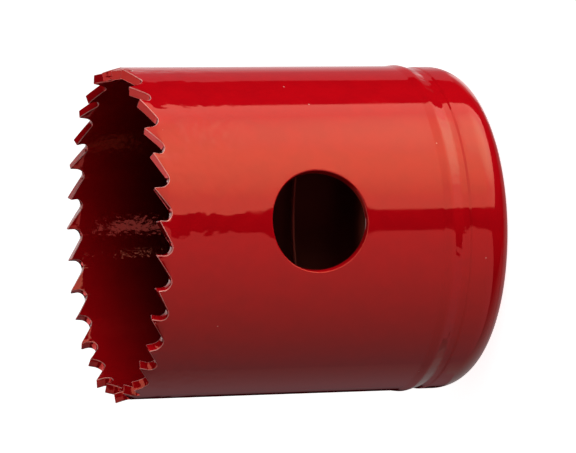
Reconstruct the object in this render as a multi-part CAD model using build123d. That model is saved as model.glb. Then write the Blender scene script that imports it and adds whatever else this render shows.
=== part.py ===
from build123d import *
import math
import os

# A hole saw standing on its flat back face, teeth up.
# Origin: centre of the back face. +Z: the saw's axis, towards the teeth.
# The first side port faces -Y. Lengths are millimetres, angles degrees.

# Saw body
cutting_diameter = 44.0        # circle that the outward-set tooth tips cut
overall_length = 48.3          # back face to tooth tips
wall = 1.25                    # thickness of the rolled strip

# Teeth
tooth_count = 31
tooth_set = 0.45               # how far a tip leans out, or in
rake_angle = 3.0               # hook of the cutting face, from the saw's axis
back_angle = 33.0              # slope of a tooth's back, from the rim
gullet_radius = 1.0
tip_land = 0.08                # flat width at a tip
tip_tilt = 9.0                 # slope of a leaning tooth's tip edge, from the rim
fold_rise = 0.12               # fold line of the set, above the gullet bottoms
first_tip_angle = -89.0        # tip beside the first port, counted about +Z
teeth_to_seam = 8              # teeth from that tip to the strip's welded seam

# Side ports, punched round in the flat strip
port_diameter = 12.7
port_height = 26.85            # centre, above the back face
port_count = 2

# Where shell and cap meet
shell_rear_height = 7.3        # rear edge of the shell, above the back face
bead_height = 9.0              # middle of the raised bead, above the back face
bead_width = 2.5
bead_rise = 0.15
groove_width = 0.8             # weld groove between the cap's rim and the shell
groove_depth = 0.35            # its two edges are rounded to its full depth
spigot_clearance = 0.03        # radial, between spigot and shell

# Cap
cap_undersize = 0.12           # radial step from the shell's outside to the cap's rim
shoulder_radius = 4.4
plate_thickness = 6.0
spigot_height = 16.7           # front edge of the spigot, above the back face
spigot_wall = 1.4
spigot_chamfer = 0.3
floor_radius = 2.0             # inside corner between plate and spigot

# Arbor thread, 5/8"-18, as a plain bore at its minor diameter, and drive-pin holes
thread_minor_diameter = 14.35
thread_major_diameter = 15.875
pin_hole_diameter = 7.0
pin_hole_spacing = 24.6
pin_hole_chamfer = 0.4

cutter_margin = 1.5            # how far a cutter reaches past what it cuts

# Worked-out sizes
body_radius = cutting_diameter / 2 - tooth_set
bore_radius = body_radius - wall
middle_radius = body_radius - wall / 2
tooth_angle = 360 / tooth_count
cap_radius = body_radius - cap_undersize
spigot_radius = bore_radius - spigot_clearance
spigot_bore_radius = spigot_radius - spigot_wall
groove_floor_radius = body_radius - groove_depth
groove_low = shell_rear_height - groove_width
thread_chamfer = (thread_major_diameter - thread_minor_diameter) / 2
middle_tip_height = overall_length - wall / 2 * math.tan(math.radians(tip_tilt))


def tip_height(radius, lean):
    """Height of a tooth's tip edge at a radius: square to the leaning tooth."""
    tilt = math.copysign(math.tan(math.radians(tip_tilt)), lean)
    return middle_tip_height - (radius - middle_radius - lean) * tilt


def gullet_center():
    """Centre of a gullet's arc in the flat strip, from the tip of the tooth it cuts out.

    The arc touches the cutting face, hooked by rake_angle, and the next tooth's back.
    """
    rake = math.radians(rake_angle)
    back = math.radians(back_angle)
    back_top = middle_radius * math.radians(tooth_angle) - tip_land
    to_back = back_top * math.sin(back) - gullet_radius
    drop = (to_back * math.cos(rake) - gullet_radius * math.sin(back)) / math.cos(back - rake)
    across = (gullet_radius - drop * math.sin(rake)) / math.cos(rake)
    return Vector(across, -drop)


gullet_angle = math.degrees(gullet_center().X / middle_radius)
gullet_depth = gullet_radius - gullet_center().Y
fold_height = middle_tip_height - gullet_depth + fold_rise


def gullet_face(radius, angle, next_lean):
    """Outline of a gullet cutter on the plane that stands at a radius, facing outwards.

    x = 0 is the middle of the gullet's arc and y = 0 the middle height of the tips. Tips lie
    on lines through the axis, as in a strip that is notched flat and then rolled.
    """
    center = gullet_center()
    rake = math.radians(rake_angle)
    tip = Vector(-radius * math.tan(math.radians(gullet_angle)), 0)
    back_x = radius * math.tan(math.radians(tooth_angle - gullet_angle)) - tip_land
    back_tip = Vector(back_x, tip_height(radius, next_lean) - middle_tip_height)
    center = Vector(tip.X + center.X, center.Y)
    to_back_tip = back_tip - center
    turn = math.atan2(to_back_tip.Y, to_back_tip.X) - math.acos(gullet_radius / to_back_tip.length)
    rake_end = center - Vector(math.cos(rake), -math.sin(rake)) * gullet_radius
    back_end = center + Vector(math.cos(turn), math.sin(turn)) * gullet_radius
    above_tip = tip + (tip - rake_end) * (cutter_margin / abs(rake_end.Y))
    above_back = back_tip + (back_tip - back_end) * ((above_tip.Y - back_tip.Y) / (back_tip.Y - back_end.Y))
    outline = [
        Line(above_tip, rake_end),
        ThreePointArc(rake_end, center - Vector(0, gullet_radius), back_end),
        Line(back_end, above_back),
        Line(above_back, above_tip),
    ]
    outward = Vector(1, 0, 0).rotate(Axis.Z, angle)
    along = Vector(0, 1, 0).rotate(Axis.Z, angle)
    plane = Plane(outward * radius + Vector(0, 0, middle_tip_height), x_dir=along, z_dir=outward)
    return plane * make_face(Curve() + outline)


def gullet_cutter(angle, next_lean):
    """Cutter of one gullet, from inside the leaning teeth to outside them."""
    inner = gullet_face(bore_radius - cutter_margin, angle, next_lean)
    outer = gullet_face(body_radius + cutter_margin, angle, next_lean)
    return loft([inner, outer], ruled=True)


def tooth_band(lean, tip_angle):
    """Blank of one tooth above the fold line, from gullet bottom to gullet bottom."""
    section = Polyline(
        (bore_radius, 0, fold_height),
        (body_radius, 0, fold_height),
        (body_radius + lean, 0, tip_height(body_radius + lean, lean)),
        (bore_radius + lean, 0, tip_height(bore_radius + lean, lean)),
        close=True,
    )
    start = tip_angle + gullet_angle - tooth_angle
    return Rot(0, 0, start) * revolve(make_face(section), Axis.Z, tooth_angle)


def tooth_lean(index):
    """Teeth lean in and out by turns, starting inwards at the strip's seam."""
    from_seam = (index - teeth_to_seam) % tooth_count
    return -tooth_set if from_seam % 2 == 0 else tooth_set


def tube_wall():
    """Shell wall from its rear edge to the fold line, with the raised bead."""
    bead_low = bead_height - bead_width / 2
    bead_high = bead_height + bead_width / 2
    outline = [
        Line((bore_radius, shell_rear_height), (bore_radius, fold_height)),
        Line((bore_radius, fold_height), (body_radius, fold_height)),
        Line((body_radius, fold_height), (body_radius, bead_high)),
        ThreePointArc((body_radius, bead_high), (body_radius + bead_rise, bead_height), (body_radius, bead_low)),
        Line((body_radius, bead_low), (body_radius, shell_rear_height + groove_depth)),
        RadiusArc(
            (body_radius, shell_rear_height + groove_depth),
            (groove_floor_radius, shell_rear_height),
            groove_depth,
        ),
        Line((groove_floor_radius, shell_rear_height), (bore_radius, shell_rear_height)),
    ]
    return revolve(Plane.XZ * make_face(Curve() + outline), Axis.Z)


def port_cutter(angle):
    """Side port: round in the flat strip, so its walls are radial once the strip is rolled."""
    half_angle = port_diameter / 2 / middle_radius
    outward = Vector(1, 0, 0).rotate(Axis.Z, angle)
    along = Vector(0, 1, 0).rotate(Axis.Z, angle)
    faces = []
    for radius in (bore_radius / 2, body_radius + cutter_margin):
        plane = Plane(outward * radius + Vector(0, 0, port_height), x_dir=along, z_dir=outward)
        faces.append(plane * Ellipse(radius * math.tan(half_angle), port_diameter / 2))
    return loft(faces, ruled=True)


def toothed_shell():
    """Rolled strip with its set teeth and side ports."""
    blanks = []
    gullets = []
    for i in range(tooth_count):
        tip_angle = first_tip_angle + i * tooth_angle
        blanks.append(tooth_band(tooth_lean(i), tip_angle))
        gullets.append(gullet_cutter(tip_angle + gullet_angle, tooth_lean(i + 1)))
    ports = [port_cutter(-90 + i * 360 / port_count) for i in range(port_count)]
    return tube_wall() + blanks - gullets - ports


def cap_outline():
    """Half section of the cap as it is turned, without its holes."""
    rim_edge = cap_radius - groove_floor_radius
    spigot_edge = spigot_height - spigot_chamfer
    return [
        Line((0, 0), (cap_radius - shoulder_radius, 0)),
        RadiusArc((cap_radius - shoulder_radius, 0), (cap_radius, shoulder_radius), -shoulder_radius),
        Line((cap_radius, shoulder_radius), (cap_radius, groove_low - rim_edge)),
        RadiusArc((cap_radius, groove_low - rim_edge), (groove_floor_radius, groove_low), -rim_edge),
        Line((groove_floor_radius, groove_low), (groove_floor_radius, shell_rear_height)),
        Line((groove_floor_radius, shell_rear_height), (spigot_radius, shell_rear_height)),
        Line((spigot_radius, shell_rear_height), (spigot_radius, spigot_edge)),
        Line((spigot_radius, spigot_edge), (spigot_radius - spigot_chamfer, spigot_height)),
        Line((spigot_radius - spigot_chamfer, spigot_height), (spigot_bore_radius, spigot_height)),
        Line((spigot_bore_radius, spigot_height), (spigot_bore_radius, plate_thickness + floor_radius)),
        RadiusArc(
            (spigot_bore_radius, plate_thickness + floor_radius),
            (spigot_bore_radius - floor_radius, plate_thickness),
            floor_radius,
        ),
        Line((spigot_bore_radius - floor_radius, plate_thickness), (0, plate_thickness)),
        Line((0, plate_thickness), (0, 0)),
    ]


def hole_cutter(diameter, mouth):
    """Through hole in the back plate with a 45 degree chamfer at both faces."""
    radius = diameter / 2
    bottom = -cutter_margin
    top = plate_thickness + cutter_margin
    section = Polyline(
        (0, 0, bottom),
        (radius + mouth + cutter_margin, 0, bottom),
        (radius, 0, mouth),
        (radius, 0, plate_thickness - mouth),
        (radius + mouth + cutter_margin, 0, top),
        (0, 0, top),
        close=True,
    )
    return revolve(make_face(section), Axis.Z)


def end_cap():
    """Turned cap with spigot, arbor thread bore and drive-pin holes."""
    body = revolve(Plane.XZ * make_face(Curve() + cap_outline()), Axis.Z)
    body -= hole_cutter(thread_minor_diameter, thread_chamfer)
    for side in (-1, 1):
        hole = hole_cutter(pin_hole_diameter, pin_hole_chamfer)
        body -= Pos(side * pin_hole_spacing / 2, 0, 0) * hole
    return body


def main():
    os.makedirs("parts", exist_ok=True)
    export_step(toothed_shell(), "parts/toothed_shell.step")
    export_step(end_cap(), "parts/end_cap.step")


if __name__ == "__main__":
    main()
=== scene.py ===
"""Dressed model of a hole saw: a rolled, toothed steel shell and a turned end cap, in red enamel.

The saw stands on the flat back of its cap, teeth up, and its first side port faces -Y.
Pieces are shaped in millimetres and brought to metres when they are finished.
"""

import logging
import math
from dataclasses import dataclass, field
from enum import Enum
from typing import Callable

import bmesh
import bpy
from mathutils import Matrix, Vector

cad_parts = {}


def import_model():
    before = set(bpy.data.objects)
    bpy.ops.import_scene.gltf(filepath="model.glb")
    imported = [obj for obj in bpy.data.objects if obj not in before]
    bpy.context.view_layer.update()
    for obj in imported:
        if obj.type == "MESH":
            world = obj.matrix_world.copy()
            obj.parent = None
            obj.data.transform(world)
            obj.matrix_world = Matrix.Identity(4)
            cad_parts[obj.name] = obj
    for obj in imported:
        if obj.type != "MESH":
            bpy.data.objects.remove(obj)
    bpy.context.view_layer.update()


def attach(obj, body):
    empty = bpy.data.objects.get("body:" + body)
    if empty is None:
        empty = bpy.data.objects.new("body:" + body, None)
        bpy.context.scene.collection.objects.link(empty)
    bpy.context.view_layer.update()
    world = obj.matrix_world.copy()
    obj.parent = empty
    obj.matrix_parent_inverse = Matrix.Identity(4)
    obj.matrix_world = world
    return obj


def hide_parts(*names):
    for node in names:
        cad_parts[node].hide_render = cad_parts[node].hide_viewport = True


LOG = logging.getLogger("hole_saw")
Socket = bpy.types.NodeSocket
Triple = tuple[float, float, float]
Colour = tuple[float, float, float, float]
Direction = tuple[float, float]  # degrees: a bearing and an elevation
METRES_PER_MM = 0.001
TOUCHING = 0.004  # mm: points this near each other are one point
LEVEL = 0.0005  # mm: heights this near each other are one level
MARGIN = 1.0  # mm: how far a cutter reaches past what it cuts
FACE_WEIGHT = 60  # how much large faces count in the shading, of 100
END_ON = 0.99  # share of a face's normal along an axis that it squarely faces
QUARTER = 90.0  # degrees
UPWARDS = Vector((0.0, 0.0, 1.0))
WHITE: Colour = (1.0, 1.0, 1.0, 1.0)


class Lean(Enum):
    """Which way the set bends a tooth."""

    OUT = -1.0
    IN = 1.0


def eased(share: float, bend: float = 0.2) -> float:
    """Gives a ramp from 0 to 1 that is straight in the middle and level at both ends.

    Args:
        share: how far along the ramp, from 0 to 1.
        bend: the part of the ramp that each rounded end takes.

    Returns:
        The height there.
    """
    if share < bend:
        return share * share / (2 * bend * (1 - bend))
    if share > 1 - bend:
        return 1 - eased(1 - share, bend)
    return (share - bend / 2) / (1 - bend)


class Blank:
    """A piece on the bench: a mesh object that is shaped with Blender's modelling tools."""

    def __init__(self, name: str, start: Vector) -> None:
        """Starts a blank as one point, from which an outline can be drawn.

        Args:
            name: the object's name.
            start: where the point is.
        """
        bpy.ops.object.select_all(action="DESELECT")
        bpy.ops.mesh.primitive_plane_add(size=1.0, location=(0.0, 0.0, 0.0))
        self.obj: bpy.types.Object = bpy.context.active_object
        self.obj.name = name
        self.obj.data.name = name
        self.open()
        bpy.ops.mesh.select_all(action="SELECT")
        bpy.ops.mesh.merge(type="CENTER")
        bpy.ops.transform.translate(value=start)

    def pick(self) -> None:
        """Selects the blank alone and makes it the active object."""
        bpy.ops.object.select_all(action="DESELECT")
        self.obj.select_set(True)
        bpy.context.view_layer.objects.active = self.obj

    def open(self) -> None:
        """Opens the blank for editing, alone."""
        self.pick()
        bpy.ops.object.mode_set(mode="EDIT")
        bpy.ops.mesh.select_mode(type="VERT")

    def close(self) -> None:
        """Ends editing."""
        bpy.ops.object.mode_set(mode="OBJECT")

    def select(self, rule: Callable, kind: str = "VERT") -> int:
        """Selects what a rule picks, while the blank is open.

        Args:
            rule: called with each mesh element, and true for one to select.
            kind: VERT, EDGE or FACE.

        Returns:
            How many elements are selected.
        """
        bpy.ops.mesh.select_mode(type=kind)
        bpy.ops.mesh.select_all(action="DESELECT")
        mesh = bmesh.from_edit_mesh(self.obj.data)
        elements = {"VERT": mesh.verts, "EDGE": mesh.edges, "FACE": mesh.faces}[kind]
        chosen = [element for element in elements if rule(element)]
        for element in chosen:
            element.select_set(True)
        mesh.select_flush_mode()
        bmesh.update_edit_mesh(self.obj.data)
        return len(chosen)

    def line(self, x: float, y: float, z: float, steps: int = 1) -> None:
        """Draws a straight line from what is selected, or sweeps it along the line.

        Args:
            x: length along X.
            y: length along Y.
            z: length along Z.
            steps: how many equal parts the line has.
        """
        part = Vector((x, y, z)) / steps
        for _ in range(steps):
            bpy.ops.mesh.extrude_region_move(TRANSFORM_OT_translate={"value": part})

    def arc(self, x: float, z: float, degrees: float, steps: int) -> None:
        """Draws an arc from the selected point, about a line along Y.

        Args:
            x: the centre's place along X.
            z: the centre's height.
            degrees: the turn from X towards Z.
            steps: how many equal parts the arc has.
        """
        bpy.ops.mesh.spin(
            steps=steps,
            dupli=False,
            angle=math.radians(degrees),
            use_auto_merge=False,
            center=(x, 0.0, z),
            axis=(0.0, 1.0, 0.0),
        )

    def turn(self, steps: int, center: Triple, axis: Triple) -> None:
        """Turns the whole outline into a closed round body.

        Args:
            steps: how many facets the body has round its axis.
            center: a point on the axis.
            axis: the axis' direction.
        """
        bpy.ops.mesh.select_all(action="SELECT")
        bpy.ops.mesh.spin(
            steps=steps, dupli=False, angle=math.tau, use_auto_merge=False, center=center, axis=axis
        )
        self.weld()
        self.face_outwards()

    def weld(self, distance: float = TOUCHING) -> None:
        """Merges the points that touch.

        Args:
            distance: how near they are.
        """
        bpy.ops.mesh.select_mode(type="VERT")
        bpy.ops.mesh.select_all(action="SELECT")
        bpy.ops.mesh.remove_doubles(threshold=distance)

    def face_outwards(self) -> None:
        """Points every face of a closed body outwards."""
        bpy.ops.mesh.select_all(action="SELECT")
        bpy.ops.mesh.normals_make_consistent(inside=False)

    def copy(self, name: str) -> "Blank":
        """Makes a second blank with its own mesh.

        Args:
            name: the copy's name.

        Returns:
            The copy, closed.
        """
        twin = Blank.__new__(Blank)
        twin.obj = self.obj.copy()
        twin.obj.data = self.obj.data.copy()
        twin.obj.name = name
        bpy.context.collection.objects.link(twin.obj)
        return twin

    def move(self, x: float, y: float = 0.0, z: float = 0.0) -> None:
        """Moves the whole mesh; the object stays at the origin.

        Args:
            x: how far along X.
            y: how far along Y.
            z: how far along Z.
        """
        self.open()
        bpy.ops.mesh.select_all(action="SELECT")
        bpy.ops.transform.translate(value=(x, y, z))
        self.close()

    def join(self, other: "Blank") -> None:
        """Takes another blank's mesh into this one.

        Args:
            other: the blank that is used up.
        """
        self.pick()
        other.obj.select_set(True)
        bpy.ops.object.join()

    def modify(self, kind: str, **settings: object) -> None:
        """Adds a modifier and applies it at once.

        Args:
            kind: Blender's name for the kind of modifier.
            settings: values for the modifier's own fields.
        """
        self.pick()
        modifier = self.obj.modifiers.new(kind.lower(), kind)
        for name, value in settings.items():
            setattr(modifier, name, value)
        bpy.ops.object.modifier_apply(modifier=modifier.name)

    def dress(self, *finishes: bpy.types.Material) -> None:
        """Gives the piece its finishes, the first one all over."""
        for finish in finishes:
            self.obj.data.materials.append(finish)

    def put_in_order(self) -> None:
        """Orders points, edges and faces by their places, so that every run goes on alike."""
        self.open()
        mesh = bmesh.from_edit_mesh(self.obj.data)
        for elements, place in (
            (mesh.verts, lambda v: tuple(v.co)),
            (mesh.edges, lambda e: sorted(v.index for v in e.verts)),
            (mesh.faces, lambda f: sorted(v.index for v in f.verts)),
        ):
            ranks = {element: rank for rank, element in enumerate(sorted(elements, key=place))}
            elements.sort(key=lambda element: ranks[element])
            elements.index_update()
        bmesh.update_edit_mesh(self.obj.data)
        self.close()

    def cut(self, cutter: "Blank") -> None:
        """Cuts away what a closed cutter holds, and throws the cutter away.

        The cut leaves the mesh in an order of its own, so it is put in order again.

        Args:
            cutter: what is cut away.
        """
        self.modify("BOOLEAN", operation="DIFFERENCE", solver="EXACT", object=cutter.obj)
        bpy.data.objects.remove(cutter.obj, do_unlink=True)
        self.put_in_order()

    def finish(self, smooth_below: float) -> bpy.types.Object:
        """Smooths the shading and brings the piece from millimetres to metres.

        Args:
            smooth_below: degrees; edges that turn less than this are shaded smooth.

        Returns:
            The finished object, at the origin.
        """
        self.pick()
        self.obj.scale = (METRES_PER_MM,) * 3
        bpy.ops.object.transform_apply(location=True, rotation=True, scale=True)
        bpy.ops.object.shade_smooth_by_angle(angle=math.radians(smooth_below))
        self.modify("WEIGHTED_NORMAL", keep_sharp=True, weight=FACE_WEIGHT)
        points, faces = len(self.obj.data.vertices), len(self.obj.data.polygons)
        LOG.info("%s: %d points, %d faces", self.obj.name, points, faces)
        return self.obj


class Wiring:
    """The nodes of one material or world, laid and joined one at a time."""

    def __init__(self, owner: bpy.types.Material | bpy.types.World) -> None:
        """Starts with no nodes.

        Args:
            owner: the material or world that the nodes are for.
        """
        owner.use_nodes = True
        self.tree: bpy.types.NodeTree = owner.node_tree
        self.tree.nodes.clear()

    def add(
        self, kind: str, feeds: dict[str | int, object] | None = None, **settings: object
    ) -> bpy.types.Node:
        """Lays a node.

        Args:
            kind: Blender's name for the kind of node, without its prefix.
            feeds: a socket or a constant value for each input that has one.
            settings: values for the node's own fields.

        Returns:
            The node.
        """
        node = self.tree.nodes.new("ShaderNode" + kind)
        for name, value in settings.items():
            setattr(node, name, value)
        for name, source in (feeds or {}).items():
            if isinstance(source, Socket):
                self.tree.links.new(source, node.inputs[name])
            else:
                node.inputs[name].default_value = source
        return node

    def math(self, operation: str, first: Socket, second: Socket | float = 0.0) -> Socket:
        """Works out one number from two.

        Args:
            operation: Blender's name for the sum.
            first: the first number.
            second: the second number.

        Returns:
            The result.
        """
        return self.add("Math", {0: first, 1: second}, operation=operation).outputs["Value"]

    def ramp(
        self, value: Socket, span: tuple[float, float], start: float = 0.0, end: float = 1.0
    ) -> Socket:
        """Maps a number smoothly.

        Args:
            value: the number.
            span: the two values between which the result changes.
            start: the result up to the first of them.
            end: the result from the second on.

        Returns:
            The result.
        """
        feeds = {"Value": value, "From Min": span[0], "From Max": span[1]}
        feeds |= {"To Min": start, "To Max": end}
        return self.add("MapRange", feeds, interpolation_type="SMOOTHSTEP").outputs["Result"]

    def noise(self, place: Socket, scale: float, detail: float) -> Socket:
        """Lays a noise pattern.

        Args:
            place: where it is read.
            scale: repeats per metre.
            detail: how many finer layers it has.

        Returns:
            The pattern, from 0 to 1.
        """
        feeds = {"Vector": place, "Scale": scale, "Detail": detail}
        return self.add("TexNoise", feeds).outputs["Fac"]

    def choose(self, factor: Socket, first: Socket, second: Socket) -> Socket:
        """Mixes two shaders.

        Args:
            factor: the second shader's share.
            first: the first shader.
            second: the second shader.

        Returns:
            The mixed shader.
        """
        return self.add("MixShader", {0: factor, 1: first, 2: second}).outputs["Shader"]


@dataclass
class SawShell:
    """The toothed strip, rolled into a tube. Lengths are millimetres and angles degrees.

    The strip is made flat, its length along X, its outer face towards -Y, and then rolled.
    """

    enamel: bpy.types.Material
    # a paler red on the rounded edges: a painted highlight
    edge_highlight_enamel: bpy.types.Material
    body_radius: float = 21.55
    wall: float = 1.25
    tooth_count: int = 31
    tooth_set: float = 0.45
    rake_angle: float = 3.0
    back_angle: float = 33.0
    gullet_radius: float = 1.0
    tip_land: float = 0.08
    tip_rounding: float = 0.10
    tip_tilt: float = 9.0
    fold_rise: float = 0.12
    overall_length: float = 48.3
    seam_tip_angle: float = 93.90  # first tip after the seam, from -Y towards +X
    port_diameter: float = 12.7
    port_height: float = 26.85
    port_angles: tuple[float, float] = (180.0, 360.0)  # from -Y towards +X
    port_edge: float = 0.16
    port_edge_parts: int = 4
    port_flare: float = 80.0  # degrees that the punch's edge turns outwards
    port_flare_length: float = 0.2
    port_facets: int = 96
    rear_height: float = 7.3
    rear_sink: float = 0.225
    bead_crest: float = 9.0
    bead_end: float = 10.25
    bead_rise: float = 0.14
    body_rows: int = 12
    columns: int = 12
    ramp_rows: int = 12  # rows up to the bead's crest
    fall_rows: int = 8  # rows from the crest to the plain wall
    above_tips: float = 0.8
    sliver: float = 0.03  # points of a notch this near each other are merged
    seam_gap: float = 0.006  # points of the rolled seam this near each other are merged
    foot_parts: int = 3  # facets of a gullet's arc below a tooth's back
    tip_parts: int = 5
    gullet_parts: int = 9
    edge_rounding: float = 0.085
    edge_parts: int = 2
    sharp_edge: float = 40.0  # degrees; edges that turn more than this are rounded
    smooth_below: float = 50.0
    middle_radius: float = field(init=False)
    pitch: float = field(init=False)
    tip_height: float = field(init=False)
    gullet: Vector = field(init=False)
    start: float = field(init=False)
    fold_height: float = field(init=False)

    def __post_init__(self) -> None:
        """Works out the sizes that follow from the others."""
        self.middle_radius = self.body_radius - self.wall / 2
        self.pitch = math.tau * self.middle_radius / self.tooth_count
        self.tip_height = self.overall_length - self.wall / 2 * math.tan(math.radians(self.tip_tilt))
        rake, back = math.radians(self.rake_angle), math.radians(self.back_angle)
        to_back = (self.pitch - self.tip_land) * math.sin(back) - self.gullet_radius
        drop = to_back * math.cos(rake) - self.gullet_radius * math.sin(back)
        drop /= math.cos(back - rake)
        across = (self.gullet_radius - drop * math.sin(rake)) / math.cos(rake)
        self.gullet = Vector((across, 0.0, self.tip_height - drop))
        self.start = self.middle_radius * math.radians(self.seam_tip_angle) - self.pitch + across
        self.fold_height = self.gullet.z - self.gullet_radius + self.fold_rise

    def levels(self) -> list[tuple[float, float]]:
        """Lists the rows across the strip, from its rear edge to above the tips.

        Returns:
            Pairs of a height and how far the outer face stands proud there.
        """
        rows = []
        ramps = (
            (self.rear_height, self.bead_crest, -self.rear_sink, self.bead_rise, self.ramp_rows),
            (self.bead_crest, self.bead_end, self.bead_rise, 0.0, self.fall_rows),
            (self.bead_end, self.fold_height, 0.0, 0.0, self.body_rows),
        )
        for low, high, start, end, steps in ramps:
            for step in range(steps):
                share = step / steps
                rows.append((low + (high - low) * share, start + (end - start) * eased(share)))
        rows.append((self.fold_height, 0.0))
        rows.append((self.tip_height + self.above_tips, 0.0))
        return rows

    def notch_cutter(self) -> Blank:
        """Makes the cutter that leaves one tooth standing, from gullet bottom to gullet bottom.

        Returns:
            The cutter, closed.
        """
        rake, back = math.radians(self.rake_angle), math.radians(self.back_angle)
        radius, bottom = self.gullet_radius, self.gullet.z - self.gullet_radius
        tip_x = self.pitch - self.gullet.x
        along_back = Vector((math.cos(back), 0.0, math.sin(back)))
        into_back = Vector((math.sin(back), 0.0, -math.cos(back)))
        into_rake = Vector((-math.cos(rake), 0.0, math.sin(rake)))
        # The tip's rounding has its middle one rounding inside both faces.
        land = Vector((tip_x - self.tip_land, 0.0, self.tip_height))
        tip = Vector((tip_x, 0.0, self.tip_height))
        inside = land + into_back * self.tip_rounding
        to_rake = tip + into_rake * self.tip_rounding - inside
        reach = to_rake.dot(-into_rake) / along_back.dot(-into_rake)
        middle = inside + along_back * reach
        back_top = middle - into_back * self.tip_rounding
        rake_top = middle - into_rake * self.tip_rounding
        center = Vector((0.0, 0.0, self.gullet.z))
        back_foot = center + into_back * radius
        next_center = Vector((self.pitch, 0.0, self.gullet.z))
        rake_foot = next_center + into_rake * radius

        cutter = Blank("notch_cutter", Vector((-MARGIN, -self.wall, bottom)))
        cutter.line(MARGIN, 0.0, 0.0)
        cutter.arc(center.x, center.z, self.back_angle, self.foot_parts)
        cutter.line(*(back_top - back_foot))
        tip_turn = QUARTER + self.back_angle + self.rake_angle
        cutter.arc(middle.x, middle.z, -tip_turn, self.tip_parts)
        cutter.line(*(rake_foot - rake_top))
        gullet_turn = QUARTER + self.rake_angle
        cutter.arc(next_center.x, next_center.z, gullet_turn, self.gullet_parts)
        cutter.line(MARGIN, 0.0, 0.0)
        cutter.line(0.0, 0.0, self.tip_height + 2 * MARGIN - bottom)
        cutter.line(-self.pitch - 2 * MARGIN, 0.0, 0.0)
        bpy.ops.mesh.select_all(action="SELECT")
        bpy.ops.mesh.edge_face_add()
        bpy.ops.mesh.select_all(action="SELECT")
        cutter.line(0.0, 2 * self.wall, 0.0)
        cutter.weld(LEVEL)
        cutter.face_outwards()
        cutter.close()
        return cutter

    def tooth(self) -> Blank:
        """Makes one pitch of the strip with its tooth, not yet set.

        Returns:
            The tooth, closed, open-ended where its neighbours join it.
        """
        rows = self.levels()
        tooth = Blank("tooth", Vector((0.0, -self.wall / 2, rows[0][0])))
        tooth.line(self.pitch, 0.0, 0.0, self.columns)
        bpy.ops.mesh.select_all(action="SELECT")
        for (low, _), (high, _) in zip(rows, rows[1:]):
            tooth.line(0.0, 0.0, high - low)
        bpy.ops.mesh.select_all(action="SELECT")
        tooth.line(0.0, self.wall, 0.0)
        for height, proud in rows:
            if proud:
                tooth.select(lambda v: abs(v.co.z - height) < LEVEL and v.co.y < 0)
                bpy.ops.transform.translate(value=(0.0, -proud, 0.0))
        tooth.face_outwards()
        tooth.close()
        tooth.cut(self.notch_cutter())
        tooth.open()
        tooth.weld(self.sliver)
        tooth.select(lambda f: self.ends_pitch(f), "FACE")
        bpy.ops.mesh.delete(type="ONLY_FACE")
        tooth.close()
        return tooth

    def ends_pitch(self, face: bmesh.types.BMFace) -> bool:
        """Tells whether a face closes one end of a single pitch.

        Args:
            face: a face of the tooth, before it is set.

        Returns:
            True for a face that a neighbour will cover.
        """
        place = face.calc_center_median().x
        return abs(face.normal.x) > END_ON and (place < LEVEL or place > self.pitch - LEVEL)

    def set_tooth(self, tooth: Blank, lean: Lean) -> None:
        """Leans a tooth from the fold line up, and tips its edge with it.

        Args:
            tooth: the tooth, closed.
            lean: which way it goes.
        """
        tall = self.tip_height - self.fold_height
        tilt = math.tan(math.radians(self.tip_tilt))
        tooth.open()
        points = bmesh.from_edit_mesh(tooth.obj.data).verts
        bent = [v.co for v in points if v.co.z > self.fold_height + LEVEL]
        above = sorted({(round(place.z, 3), place.y > 0) for place in bent})
        shifts = []
        for height, inner in above:
            share = (height - self.fold_height) / tall
            side = self.wall / 2 if inner else -self.wall / 2
            across, along = self.tooth_set * share, -tilt * side * share
            shifts.append((height, inner, Vector((0.0, across, along)) * lean.value))
        for height, inner, shift in reversed(shifts):
            tooth.select(
                lambda v: not v.hide and abs(v.co.z - height) < 2 * LEVEL and (v.co.y > 0) == inner
            )
            bpy.ops.transform.translate(value=shift)
            bpy.ops.mesh.hide(unselected=False)
        bpy.ops.mesh.reveal(select=False)
        tooth.close()

    def strip(self) -> Blank:
        """Lays the teeth side by side, leaning in and out by turns.

        Returns:
            The flat strip, closed, its first tooth beside the seam.
        """
        strip = self.tooth()
        outward = strip.copy("tooth_out")
        last = strip.copy("tooth_last")
        self.set_tooth(strip, Lean.IN)
        self.set_tooth(outward, Lean.OUT)
        self.set_tooth(last, Lean.IN)
        outward.move(self.pitch)
        strip.join(outward)
        pairs = self.tooth_count // 2
        strip.modify(
            "ARRAY",
            count=pairs,
            use_relative_offset=False,
            use_constant_offset=True,
            constant_offset_displace=(2 * self.pitch, 0.0, 0.0),
        )
        last.move(2 * pairs * self.pitch)
        strip.join(last)
        strip.move(self.start)
        strip.open()
        strip.weld()
        strip.close()
        return strip

    def port_cutter(self, angle: float) -> Blank:
        """Makes a punch for one side port, flared to leave rounded edges on both faces.

        Args:
            angle: where the port's middle goes, from -Y towards +X.

        Returns:
            The cutter, closed.
        """
        x = self.middle_radius * math.radians(angle)
        half, radius, edge = self.wall / 2, self.port_diameter / 2, self.port_edge
        profile = []
        for step in range(self.port_edge_parts + 1):
            turn = math.radians(self.port_flare * step / self.port_edge_parts)
            rim = (radius + edge * (1 - math.cos(turn)), half - edge * (1 - math.sin(turn)))
            profile.append(rim)
        steep = math.radians(self.port_flare)
        reach = self.port_flare_length
        profile.append((rim[0] + reach * math.sin(steep), rim[1] + reach * math.cos(steep)))
        profile.append((profile[-1][0], half + MARGIN))
        outline = [(r, -y) for r, y in reversed(profile)] + profile
        outline = [(0.0, outline[0][1])] + outline + [(0.0, outline[-1][1])]
        cutter = Blank("port_cutter", Vector((x, outline[0][1], self.port_height)))
        for (r0, y0), (r1, y1) in zip(outline, outline[1:]):
            cutter.line(r1 - r0, y1 - y0, 0.0)
        cutter.turn(self.port_facets, (x, 0.0, self.port_height), (0.0, 1.0, 0.0))
        cutter.close()
        return cutter

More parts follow.
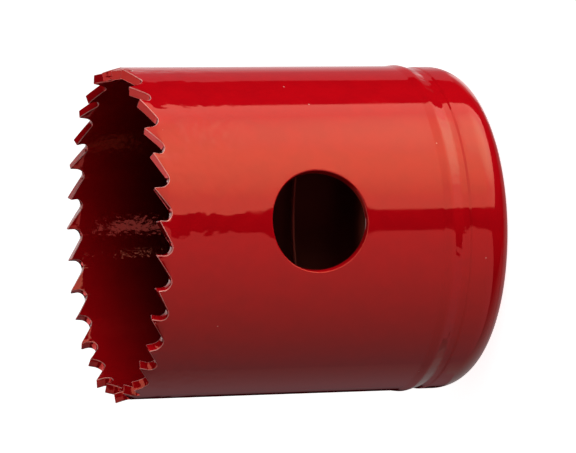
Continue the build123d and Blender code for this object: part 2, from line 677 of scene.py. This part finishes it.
    def build(self) -> bpy.types.Object:
        """Makes the shell.

        Returns:
            The finished piece.
        """
        shell = self.strip()
        ends = (self.start, self.start + self.tooth_count * self.pitch)
        shell.open()
        for place in ends:
            shell.select(
                lambda e: e.is_boundary and all(abs(v.co.x - place) < 4 * LEVEL for v in e.verts),
                "EDGE",
            )
            bpy.ops.mesh.edge_face_add()
        shell.face_outwards()
        shell.close()
        for angle in self.port_angles:
            shell.cut(self.port_cutter(angle))
        shell.open()
        for place in ends:
            shell.select(lambda f: all(abs(v.co.x - place) < 4 * LEVEL for v in f.verts), "FACE")
            bpy.ops.mesh.delete(type="ONLY_FACE")
        shell.select(lambda f: all(v.co.z < self.rear_height + LEVEL for v in f.verts), "FACE")
        bpy.ops.mesh.delete(type="ONLY_FACE")
        shell.close()
        # the rounded edges take the second finish, a paler red that is a painted highlight along them
        shell.dress(self.enamel, self.edge_highlight_enamel)
        shell.modify(
            "BEVEL",
            width=self.edge_rounding,
            segments=self.edge_parts,
            limit_method="ANGLE",
            angle_limit=math.radians(self.sharp_edge),
            use_clamp_overlap=False,
            material=1,
        )
        shell.modify("SIMPLE_DEFORM", deform_method="BEND", deform_axis="Z", angle=math.tau)
        shell.move(0.0, -self.middle_radius)
        shell.open()
        shell.weld(self.seam_gap)
        shell.select(lambda e: e.is_boundary, "EDGE")
        bpy.ops.mesh.bridge_edge_loops()
        shell.face_outwards()
        shell.close()
        shell.obj.name = "saw_shell"
        return shell.finish(self.smooth_below)


@dataclass
class EndCap:
    """The turned cap with its spigot, threaded bore and drive-pin holes, in millimetres."""

    enamel: bpy.types.Material
    radius: float = 21.43
    shoulder: float = 4.4
    plate: float = 6.0
    rim_height: float = 6.25
    valley_height: float = 6.62
    valley_radius: float = 21.32
    shell_rear: float = 7.3
    spigot_radius: float = 20.27
    spigot_bore: float = 18.87
    spigot_top: float = 16.7
    spigot_edge: float = 0.3
    floor_radius: float = 2.0
    thread_minor: float = 7.175
    thread_major: float = 7.9375
    thread_pitch: float = 25.4 / 18
    thread_flank: float = 30.0  # degrees from square to the bore
    thread_flats: int = 8  # the groove's floor is the pitch over this
    thread_facets: int = 96
    pin_hole: float = 3.5
    pin_spacing: float = 24.6
    pin_edge: float = 0.4
    pin_facets: int = 64
    facets: int = 248
    face_rows: int = 4
    side_rows: int = 3
    rim_rows: int = 8
    shoulder_parts: int = 18
    edge_parts: int = 3
    floor_parts: int = 8
    tap_overlap: float = 0.12  # how far the tap's core lies inside the bore's wall
    tap_ends: float = 0.5  # how far the tap reaches past both faces
    sliver: float = 0.001  # points this near each other are merged
    smooth_below: float = 32.0

    def turned_body(self) -> Blank:
        """Turns the cap's half section round the saw's axis.

        Returns:
            The body with a plain centre bore, closed.
        """
        mouth = self.thread_major - self.thread_minor
        edge, edge_height = self.spigot_edge, self.spigot_top - self.spigot_edge
        corner = self.plate + self.floor_radius
        body = Blank("saw_cap", Vector((self.thread_major, 0.0, 0.0)))
        body.line(self.radius - self.shoulder - self.thread_major, 0.0, 0.0, self.face_rows)
        body.arc(self.radius - self.shoulder, self.shoulder, QUARTER, self.shoulder_parts)
        body.line(0.0, 0.0, self.rim_height - self.shoulder, self.side_rows)
        rows = self.rim_rows
        for step in range(rows):
            share = eased((step + 1) / rows) - eased(step / rows)
            sink = (self.radius - self.valley_radius) * share
            body.line(-sink, 0.0, (self.valley_height - self.rim_height) / rows)
        body.line(0.0, 0.0, self.shell_rear - self.valley_height)
        body.line(self.spigot_radius - self.valley_radius, 0.0, 0.0)
        body.line(0.0, 0.0, edge_height - self.shell_rear, self.side_rows)
        body.arc(self.spigot_radius - edge, edge_height, QUARTER, self.edge_parts)
        body.line(self.spigot_bore - self.spigot_radius + 2 * edge, 0.0, 0.0)
        body.arc(self.spigot_bore + edge, edge_height, QUARTER, self.edge_parts)
        body.line(0.0, 0.0, corner - edge_height, self.side_rows)
        body.arc(self.spigot_bore - self.floor_radius, corner, -QUARTER, self.floor_parts)
        body.line(self.thread_major + self.floor_radius - self.spigot_bore, 0.0, 0.0, self.face_rows)
        body.line(-mouth, 0.0, -mouth)
        body.line(0.0, 0.0, 2 * mouth - self.plate, self.face_rows)
        body.line(mouth, 0.0, -mouth)
        body.weld()
        body.turn(self.facets, (0.0, 0.0, 0.0), tuple(UPWARDS))
        body.close()
        return body

    def pin_cutter(self, x: float) -> Blank:
        """Makes the cutter of one drive-pin hole, with a chamfer at each face.

        Args:
            x: the hole's place along X.

        Returns:
            The cutter, closed.
        """
        flare = self.pin_edge + MARGIN
        cutter = Blank("pin_cutter", Vector((x, 0.0, -MARGIN)))
        cutter.line(self.pin_hole + flare, 0.0, 0.0)
        cutter.line(-flare, 0.0, flare)
        cutter.line(0.0, 0.0, self.plate - 2 * self.pin_edge)
        cutter.line(flare, 0.0, flare)
        cutter.line(-self.pin_hole - flare, 0.0, 0.0)
        cutter.turn(self.pin_facets, (x, 0.0, 0.0), tuple(UPWARDS))
        cutter.close()
        return cutter

    def tap(self) -> Blank:
        """Makes the tap that cuts the arbor thread.

        Returns:
            The tap, a right-handed screw, closed.
        """
        core = self.thread_minor - self.tap_overlap
        depth = self.thread_major - core
        rise = depth * math.tan(math.radians(self.thread_flank))
        flat = self.thread_pitch / self.thread_flats
        tap = Blank("tap", Vector((core, 0.0, -2 * self.thread_pitch)))
        tap.line(depth, 0.0, rise)
        tap.line(0.0, 0.0, flat)
        tap.line(-depth, 0.0, rise)
        tap.line(0.0, 0.0, self.thread_pitch - 2 * rise - flat)
        tap.close()
        turns = 2 + math.ceil(self.plate / self.thread_pitch) + 2
        tap.modify(
            "SCREW",
            axis="Z",
            angle=math.tau,
            screw_offset=self.thread_pitch,
            iterations=turns,
            steps=self.thread_facets,
            render_steps=self.thread_facets,
            use_merge_vertices=True,
            merge_threshold=TOUCHING,
        )
        tap.open()
        tap.weld()
        for height, sign in ((-self.tap_ends, -1.0), (self.plate + self.tap_ends, 1.0)):
            bpy.ops.mesh.select_all(action="SELECT")
            bpy.ops.mesh.bisect(
                plane_co=(0.0, 0.0, height),
                plane_no=(0.0, 0.0, sign),
                use_fill=True,
                clear_outer=True,
                clear_inner=False,
            )
        tap.face_outwards()
        tap.close()
        return tap

    def build(self) -> bpy.types.Object:
        """Makes the cap.

        Returns:
            The finished piece.
        """
        body = self.turned_body()
        for side in (-1, 1):
            body.cut(self.pin_cutter(side * self.pin_spacing / 2))
        body.cut(self.tap())
        body.open()
        body.weld(self.sliver)
        body.close()
        body.dress(self.enamel)
        return body.finish(self.smooth_below)


@dataclass(frozen=True)
class RedEnamel:
    """Glossy stoved enamel over steel, for one kind of surface. Lengths are metres.

    It ripples more near the teeth, the weld and the inside, where it pools, and deep in the cup
    its colour is darkened to near black as painted shade.
    """

    name: str = "red_enamel"
    colour: Colour = (0.52, 0.002, 0.006, 1.0)
    deep_colour: Colour = (0.48, 0.002, 0.006, 1.0)
    dust_colour: Colour = (0.70, 0.28, 0.25, 1.0)
    # painted shade: the near-black that stands in for the dark deep in the cup
    painted_shade_colour: Colour = (0.02, 0.001, 0.001, 1.0)
    sheen_of_red: Colour = (1.0, 0.34, 0.24, 1.0)
    refraction: float = 1.5
    gloss: float = 1.0
    roughness: float = 0.045
    roughness_change: tuple[float, float] = (-0.02, 0.03)
    dull_roughness: float = 0.5
    # How high each relief stands, and how often it repeats in a metre
    swell: float = 5.0e-6
    swell_scale: float = 170.0
    ripple: float = 3.0e-6
    ripple_scale: float = 620.0
    orange_peel: float = 1.2e-6
    peel_scale: float = 1500.0
    turning_mark: float = 3.0e-6
    turning_scale: float = 420.0
    turning_wander: float = 1.2
    mottle_scale: float = 420.0
    dust_scale: float = 240.0
    # The radius, and the heights, between which the finish changes
    bore: tuple[float, float] = (0.0204, 0.0206)
    turned_face: tuple[float, float] = (0.0002, 0.0012)
    above_back: tuple[float, float] = (0.0008, 0.005)
    dull: tuple[float, float] = (0.034, 0.026)
    # the heights between which the painted shade inside the cup grows from none to full
    deep: tuple[float, float] = (0.052, 0.031)
    teeth: tuple[float, float] = (0.0315, 0.0405)
    weld_height: float = 0.0076
    weld_reach: float = 0.0035
    # How many times the plain ripples, or the plain peel, are added there
    plain_ripples: float = 0.6
    ripples_by_teeth: float = 16.0
    ripples_by_weld: float = 20.0
    ripples_inside: float = 4.0
    peel_inside: float = 24.0
    # Shares of a pattern between which the finish changes
    mottle_steps: tuple[float, float] = (0.35, 0.62)
    polish_steps: tuple[float, float] = (0.2, 0.8)
    speck_edge: tuple[float, float] = (0.018, 0.034)

    def relief(self, nodes: Wiring, place: Socket, height: Socket, inside: Socket) -> Socket:
        """Gives the enamel's swell, ripples, peel and turning marks.

        Args:
            nodes: the material's nodes.
            place: the place on the saw.
            height: its height above the back face.
            inside: 1 within the bore and 0 outside it.

        Returns:
            The surface's normal.
        """
        from_weld = nodes.math("ABSOLUTE", nodes.math("SUBTRACT", height, self.weld_height))
        by_teeth = nodes.ramp(height, self.teeth, 0.0, self.ripples_by_teeth)
        by_weld = nodes.ramp(from_weld, (0.0, self.weld_reach), self.ripples_by_weld, 0.0)
        pooled = nodes.math("MULTIPLY", inside, self.ripples_inside)
        for runs in (by_teeth, by_weld):
            pooled = nodes.math("MAXIMUM", pooled, runs)
        pooled = nodes.math("ADD", pooled, self.plain_ripples)
        peeled = nodes.math("ADD", nodes.math("MULTIPLY", inside, self.peel_inside), 1.0)
        rings = nodes.add(
            "TexWave",
            {
                "Vector": place,
                "Scale": self.turning_scale,
                "Distortion": self.turning_wander,
                "Detail": 1.0,
            },
            wave_type="RINGS",
            rings_direction="Z",
        )
        turned = nodes.ramp(height, self.turned_face, 1.0, 0.0)
        swells = nodes.noise(place, self.swell_scale, 1.0)
        ripples = nodes.noise(place, self.ripple_scale, 1.0)
        peel = nodes.noise(place, self.peel_scale, 2.0)
        layers = (
            (swells, self.swell),
            (nodes.math("MULTIPLY", ripples, pooled), self.ripple),
            (nodes.math("MULTIPLY", peel, peeled), self.orange_peel),
            (nodes.math("MULTIPLY", rings.outputs["Fac"], turned), self.turning_mark),
        )
        under = {}
        for pattern, distance in layers:
            bump = nodes.add("Bump", {"Height": pattern, "Distance": distance} | under)
            under = {"Normal": bump.outputs["Normal"]}
        return bump.outputs["Normal"]

    def paint(self, nodes: Wiring, place: Socket, mottle: Socket, painted_shade: Socket) -> Socket:
        """Gives the colour: mottled red, with specks of dust, and painted shade deep in the cup.

        Args:
            nodes: the material's nodes.
            place: the place on the saw.
            mottle: the mottled pattern.
            painted_shade: how far the colour is darkened to painted shade, from 0 to 1.

        Returns:
            The colour.
        """
        tone = nodes.add("ValToRGB", {"Fac": mottle})
        shades = (self.deep_colour, self.colour)
        for element, step, shade in zip(tone.color_ramp.elements, self.mottle_steps, shades):
            element.position = step
            element.color = shade
        specks = nodes.add("TexVoronoi", {"Vector": place, "Scale": self.dust_scale})
        dust = nodes.ramp(specks.outputs["Distance"], self.speck_edge, 1.0, 0.0)
        colour = tone.outputs["Color"]
        for factor, shade in ((dust, self.dust_colour), (painted_shade, self.painted_shade_colour)):
            feeds = {"Factor": factor, "A": colour, "B": shade}
            colour = nodes.add("Mix", feeds, data_type="RGBA").outputs["Result"]
        return colour

    def make(self) -> bpy.types.Material:
        """Builds the node material.

        Returns:
            The material, which reads Object coordinates.
        """
        material = bpy.data.materials.new(self.name)
        nodes = Wiring(material)
        place = nodes.add("TexCoord").outputs["Object"]
        height = nodes.add("SeparateXYZ", {"Vector": place}).outputs["Z"]
        level = nodes.add("VectorMath", {0: place, 1: (1.0, 1.0, 0.0)}, operation="MULTIPLY")
        radius = nodes.add("VectorMath", {0: level.outputs["Vector"]}, operation="LENGTH")
        inside = nodes.ramp(radius.outputs["Value"], self.bore, 1.0, 0.0)
        in_cup = nodes.math("MULTIPLY", inside, nodes.ramp(height, self.above_back))
        # painted shade: the colour darkens deeper in the cup, where little light reaches
        painted_shade = nodes.math("MULTIPLY", in_cup, nodes.ramp(height, self.deep))
        mottle = nodes.noise(place, self.mottle_scale, 3.0)
        finest, coarsest = (self.roughness + change for change in self.roughness_change)
        polish = nodes.ramp(mottle, self.polish_steps, finest, coarsest)
        dulled = nodes.math("MULTIPLY", in_cup, nodes.ramp(height, self.dull, 0.0, self.dull_roughness))
        shader = nodes.add(
            "BsdfPrincipled",
            {
                "Base Color": self.paint(nodes, place, mottle, painted_shade),
                "Roughness": nodes.math("MAXIMUM", polish, dulled),
                "IOR": self.refraction,
                "Specular IOR Level": self.gloss,
                "Specular Tint": self.sheen_of_red,
                "Normal": self.relief(nodes, place, height, inside),
            },
        )
        nodes.add("OutputMaterial", {"Surface": shader.outputs["BSDF"]})
        return material


@dataclass(frozen=True)
class Lamp:
    """A soft panel that stands upright beside the saw, facing its axis. Lengths in metres."""

    name: str
    bearing: float  # degrees from the camera's side towards +X
    half_width: float  # degrees that half of it spans
    lowest: float  # degrees below the horizon are negative
    highest: float
    brightness: float
    distance: float = 0.4


@dataclass(frozen=True)
class Card:
    """A pale card far from the saw, that shows only in its gloss.

    Bearings go from the camera's side towards +X. Each edge runs through two directions, and the
    card lies on the same side of every edge as its inside direction. Its light changes evenly
    along one direction.
    """

    name: str
    edges: tuple[tuple[Direction, Direction], ...]
    inside: Direction
    near_tint: Triple
    far_tint: Triple
    along: Direction
    near: float  # share of the full reach along that direction, -1 to 1
    far: float
    softness: float = 0.012


CARDS = (
    Card(
        name="key_card",
        edges=(
            ((79.0, 34.5), (118.3, -54.6)),
            ((53.0, -63.0), (25.0, -59.0)),
            ((20.0, -63.0), (9.4, 26.0)),
            ((9.4, 26.0), (79.0, 34.5)),
        ),
        inside=(55.0, -20.0),
        near_tint=(1.9, 1.02, 0.93),
        far_tint=(2.8, 2.72, 1.98),
        along=(53.0, -18.0),
        near=0.80,
        far=1.0,
    ),
    Card(
        name="key_heart",
        edges=(
            ((79.0, 34.5), (118.3, -54.6)),
            ((53.0, -63.0), (25.0, -59.0)),
            ((20.0, -63.0), (9.4, 26.0)),
        ),
        inside=(60.0, -42.0),
        near_tint=(2.2, 1.6, 1.4),
        far_tint=(2.9, 3.7, 2.8),
        along=(66.0, -38.0),
        near=0.90,
        far=0.985,
    ),
    Card(
        name="side_card",
        edges=(
            ((-1.5, -18.0), (-4.6, -43.0)),
            ((-4.6, -43.0), (-61.7, -52.0)),
            ((-160.0, -18.0), (-160.0, 20.0)),
            ((-30.0, 19.0), (-31.0, 19.0)),
        ),
        inside=(-80.0, -18.0),
        near_tint=(0.05, 0.08, 0.085),
        far_tint=(1.38, 0.58, 0.66),
        along=(0.0, 0.0),
        near=-0.9,
        far=0.95,
    ),
    Card(
        name="foot_card",
        edges=(
            ((-112.0, -18.0), (-112.0, 20.0)),
            ((-160.0, -18.0), (-160.0, 20.0)),
            ((-62.0, -60.0), (-150.0, -45.0)),
            ((-112.0, 8.0), (-113.0, 8.0)),
        ),
        inside=(-130.0, -18.0),
        near_tint=(0.08, 0.05, 0.055),
        far_tint=(0.50, 0.25, 0.27),
        along=(-112.0, -18.0),
        near=0.66,
        far=1.0,
    ),
    Card(
        name="low_card",
        edges=(
            ((130.0, -21.0), (-59.0, -52.0)),
            ((-178.0, -21.0), (-120.0, -20.0)),
        ),
        inside=(-145.0, -45.0),
        near_tint=(0.05, 0.04, 0.04),
        far_tint=(0.38, 0.34, 0.34),
        along=(-145.0, -35.0),
        near=0.6,
        far=1.0,
    ),
    Card(
        name="back_card",
        edges=(
            ((129.6, -18.0), (128.0, 20.0)),
            ((181.0, -18.0), (181.0, 20.0)),
            ((129.0, -25.0), (181.0, -25.0)),
            ((130.0, 25.0), (-130.0, 25.0)),
        ),
        inside=(160.0, -15.0),
        near_tint=(0.36, 0.17, 0.19),
        far_tint=(0.95, 0.9, 0.9),
        along=(175.0, 10.0),
        near=0.76,
        far=0.93,
    ),
    Card(
        name="sill_card",
        edges=(
            ((134.0, -18.0), (134.0, 20.0)),
            ((-175.0, -18.0), (-175.0, 20.0)),
            ((136.0, -24.0), (180.0, -24.0)),
            ((136.0, -38.0), (180.0, -38.0)),
        ),
        inside=(158.0, -31.0),
        near_tint=(0.2, 0.12, 0.13),
        far_tint=(1.0, 0.9, 0.9),
        along=(165.0, -31.0),
        near=0.945,
        far=0.99,
        softness=0.04,
    ),
    Card(
        name="over_card",
        edges=(
            ((-95.0, 25.0), (-165.0, 15.0)),
            ((-165.0, 15.0), (150.0, 70.0)),
            ((150.0, 70.0), (-60.0, 78.0)),
            ((-60.0, 78.0), (-95.0, 25.0)),
        ),
        inside=(-125.0, 55.0),
        near_tint=(3.2, 0.75, 0.78),
        far_tint=(3.2, 0.75, 0.78),
        along=(-125.0, 60.0),
        near=0.0,
        far=1.0,
    ),
)


@dataclass(frozen=True)
class Viewpoint:
    """Where the camera is and how it is turned, in metres, and its lens, in millimetres."""

    place: Triple = (-0.0236207, -0.4540553, 0.1789374)
    right: Triple = (-0.0364585, -0.3212193, -0.9463028)
    up: Triple = (0.9980738, -0.0592669, -0.0183352)
    back: Triple = (-0.0501948, -0.9451485, 0.3227613)
    sensor_width: float = 36.0
    lens: float = 227.875
    nearest: float = 0.01
    farthest: float = 20.0

    def set_up(self) -> None:
        """Places the camera beside the saw, rolled so that the saw's axis lies across the view."""
        camera = bpy.data.cameras.new("camera")
        camera.sensor_width = self.sensor_width
        camera.lens = self.lens
        camera.clip_start = self.nearest
        camera.clip_end = self.farthest
        holder = bpy.data.objects.new("camera", camera)
        bpy.context.collection.objects.link(holder)
        turned = Matrix((self.right, self.up, self.back)).transposed().to_4x4()
        holder.matrix_world = Matrix.Translation(Vector(self.place)) @ turned
        bpy.context.scene.camera = holder


@dataclass
class Studio:
    """Plain soft light, a pale floor and the view of the saw."""

    camera_side: Vector = field(default_factory=lambda: Vector((-0.05303, -0.99859, 0.0)))
    across: Vector = field(default_factory=lambda: Vector((0.99859, -0.05303, 0.0)))
    saw_middle: float = 0.026
    view: Viewpoint = Viewpoint()
    lamps: tuple[Lamp, ...] = (
        Lamp("key", bearing=57.0, half_width=40.0, lowest=-66.0, highest=30.0, brightness=2.1),
        Lamp("back", bearing=165.0, half_width=35.0, lowest=-30.0, highest=40.0, brightness=0.8),
    )
    cards: tuple[Card, ...] = CARDS
    ambient: float = 0.08
    floor_radius: float = 3.0
    floor_facets: int = 96
    floor_colour: Colour = (0.8, 0.8, 0.8, 1.0)
    floor_glow: float = 0.92

    def way(self, bearing: float, elevation: float) -> Vector:
        """Gives a direction.

        Args:
            bearing: degrees from the camera's side towards +X.
            elevation: degrees above the horizon.

        Returns:
            The unit vector.
        """
        turn, rise = math.radians(bearing), math.radians(elevation)
        level = self.camera_side * math.cos(turn) + self.across * math.sin(turn)
        return level * math.cos(rise) + UPWARDS * math.sin(rise)

    def hang_lamp(self, lamp: Lamp) -> None:
        """Hangs one panel.

        Args:
            lamp: its place, span and brightness.
        """
        outward = self.way(lamp.bearing, 0.0)
        low = lamp.distance * math.tan(math.radians(lamp.lowest))
        high = lamp.distance * math.tan(math.radians(lamp.highest))
        width = 2 * lamp.distance * math.tan(math.radians(lamp.half_width))
        light = bpy.data.lights.new(lamp.name, "AREA")
        light.shape = "RECTANGLE"
        light.size = width
        light.size_y = high - low
        light.energy = lamp.brightness * math.pi * width * (high - low)
        holder = bpy.data.objects.new(lamp.name, light)
        bpy.context.collection.objects.link(holder)
        place = outward * lamp.distance + UPWARDS * (self.saw_middle + (low + high) / 2)
        turned = Matrix((UPWARDS.cross(outward), UPWARDS, outward)).transposed().to_4x4()
        holder.matrix_world = Matrix.Translation(place) @ turned
        holder.visible_camera = False
        holder.visible_glossy = False

    def paint_card(self, nodes: Wiring, look: Socket, card: Card) -> Socket:
        """Paints one card on the surround.

        Args:
            nodes: the surround's nodes.
            look: the direction looked in.
            card: the card.

        Returns:
            The card's light.
        """
        inside, mask = self.way(*card.inside), None
        for start, end in card.edges:
            normal = self.way(*start).cross(self.way(*end)).normalized()
            if normal.dot(inside) < 0:
                normal.negate()
            side = nodes.add("VectorMath", {0: look, 1: normal}, operation="DOT_PRODUCT")
            step = nodes.ramp(side.outputs["Value"], (-card.softness, card.softness))
            mask = step if mask is None else nodes.math("MULTIPLY", mask, step)
        feeds = {0: look, 1: self.way(*card.along)}
        reach = nodes.add("VectorMath", feeds, operation="DOT_PRODUCT").outputs["Value"]
        feeds = {"Value": reach, "From Min": card.near, "From Max": card.far}
        share = nodes.add("MapRange", feeds).outputs["Result"]
        feeds = {"Factor": share, "A": card.near_tint, "B": card.far_tint}
        tint = nodes.add("Mix", feeds, data_type="VECTOR").outputs["Result"]
        return nodes.add("VectorMath", {0: tint, "Scale": mask}, operation="SCALE").outputs["Vector"]

    def light_world(self) -> None:
        """Gives a dim even surround, pale cards that show in gloss, and white for the camera."""
        world = bpy.data.worlds.new("surround")
        bpy.context.scene.world = world
        nodes = Wiring(world)
        look = nodes.add("TexCoord").outputs["Generated"]
        path = nodes.add("LightPath").outputs
        light = self.paint_card(nodes, look, self.cards[0])
        for card in self.cards[1:]:
            feeds = {0: light, 1: self.paint_card(nodes, look, card)}
            light = nodes.add("VectorMath", feeds, operation="MAXIMUM").outputs["Vector"]
        dim, cards, white = (
            nodes.add("Background", feeds).outputs["Background"]
            for feeds in (
                {"Color": WHITE, "Strength": self.ambient},
                {"Color": light},
                {"Color": WHITE},
            )
        )
        unseen = nodes.choose(path["Is Glossy Ray"], dim, cards)
        seen = nodes.choose(path["Is Camera Ray"], unseen, white)
        nodes.add("OutputWorld", {"Surface": seen})

    def lay_floor(self) -> None:
        """Lays a pale floor that keeps the saw's shadow and looks white to the camera."""
        bpy.ops.object.select_all(action="DESELECT")
        bpy.ops.mesh.primitive_circle_add(
            vertices=self.floor_facets, radius=self.floor_radius, fill_type="NGON", location=(0, 0, 0)
        )
        floor = bpy.context.active_object
        floor.name = "floor"
        material = bpy.data.materials.new("pale_floor")
        nodes = Wiring(material)
        path = nodes.add("LightPath").outputs
        side = nodes.add("NewGeometry").outputs
        strength = nodes.math("MULTIPLY", path["Is Camera Ray"], self.floor_glow)
        pale = nodes.add("BsdfDiffuse", {"Color": self.floor_colour}).outputs["BSDF"]
        glow = nodes.add("Emission", {"Strength": strength}).outputs["Emission"]
        both = nodes.add("AddShader", {0: pale, 1: glow}).outputs["Shader"]
        clear = nodes.add("BsdfTransparent").outputs["BSDF"]
        nodes.add("OutputMaterial", {"Surface": nodes.choose(side["Backfacing"], both, clear)})
        floor.data.materials.append(material)
        floor.visible_glossy = False
        floor.visible_diffuse = False
        floor.visible_shadow = False

    def build(self) -> None:
        """Sets the whole scene round the saw."""
        self.view.set_up()
        self.lay_floor()
        self.light_world()
        for lamp in self.lamps:
            self.hang_lamp(lamp)
        bpy.context.scene.view_settings.view_transform = "Standard"


def main() -> None:
    """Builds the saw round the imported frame."""
    logging.basicConfig(level=logging.INFO, format="%(name)s: %(message)s")
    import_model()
    Studio().build()
    enamel = RedEnamel().make()
    # a paler red for the rounded edges: a painted highlight, standing in for their gloss
    edge_highlight = RedEnamel("painted_edge_highlight", colour=(0.92, 0.42, 0.38, 1.0), deep_colour=(0.82, 0.26, 0.23, 1.0))
    shell = SawShell(enamel, edge_highlight.make()).build()
    cap = EndCap(enamel).build()
    for piece, node in ((shell, "toothed_shell"), (cap, "end_cap")):
        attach(piece, "root")
        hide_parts(node)


if __name__ == "__main__":
    main()
